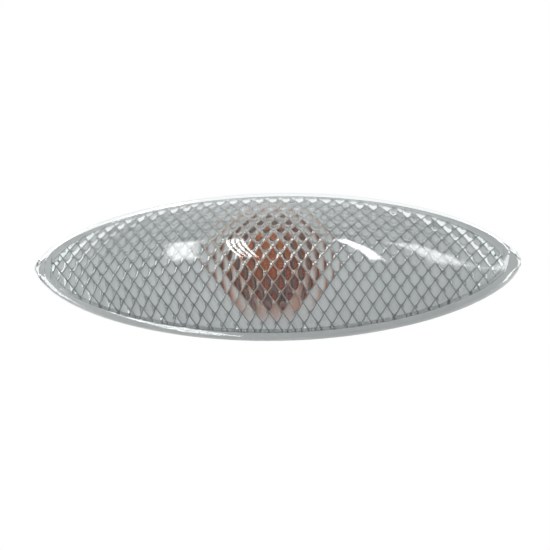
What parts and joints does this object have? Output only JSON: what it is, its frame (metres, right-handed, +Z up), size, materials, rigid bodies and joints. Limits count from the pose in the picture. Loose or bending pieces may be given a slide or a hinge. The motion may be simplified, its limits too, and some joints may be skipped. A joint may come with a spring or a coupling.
{
  "type": "side repeater lamp",
  "caption": "Eye-shaped clear side repeater lamp for a car wing: diamond-prism lens, welded back moulding, amber bulb in a quarter-turn holder.",
  "frame": {"origin": "centre of the lamp in the plane where the panel gasket meets the car panel", "axes": "+X along the lamp towards the spring clip, +Y into the car behind the panel, +Z up; the lens faces -Y"},
  "size_m": [0.11, 0.0469, 0.0344],
  "materials": {
    "clear_lens": "clear moulded acrylic, polished outside, prisms inside",
    "housing_plastic": "light grey moulded plastic, satin",
    "gasket_rubber": "black closed-cell rubber",
    "clip_steel": "bright spring steel strip",
    "holder_plastic": "dark brown moulded plastic, fine grain",
    "seal_rubber": "dark soft rubber",
    "contact_metal": "tinned brass strip",
    "amber_glass": "amber lamp glass",
    "filament_metal": "coiled tungsten wire",
    "lead_metal": "plain bright wire"
  },
  "bodies": {
    "lamp": {"lens": "clear_lens", "housing": "housing_plastic", "panel_gasket": "gasket_rubber", "spring_clip": "clip_steel"},
    "holder": {"bulb_holder": "holder_plastic", "holder_seal": "seal_rubber", "contact_left": "contact_metal", "contact_right": "contact_metal", "bulb_glass": "amber_glass", "bulb_filament": "filament_metal", "bulb_lead_left": "lead_metal", "bulb_lead_right": "lead_metal"}
  },
  "joints": [
    {"name": "holder_turn", "type": "hinge", "parent": "lamp", "child": "holder", "pos_m": [0, 0.0099, 0], "axis": [0, -1, 0], "range_deg": [0, 45]}
  ]
}
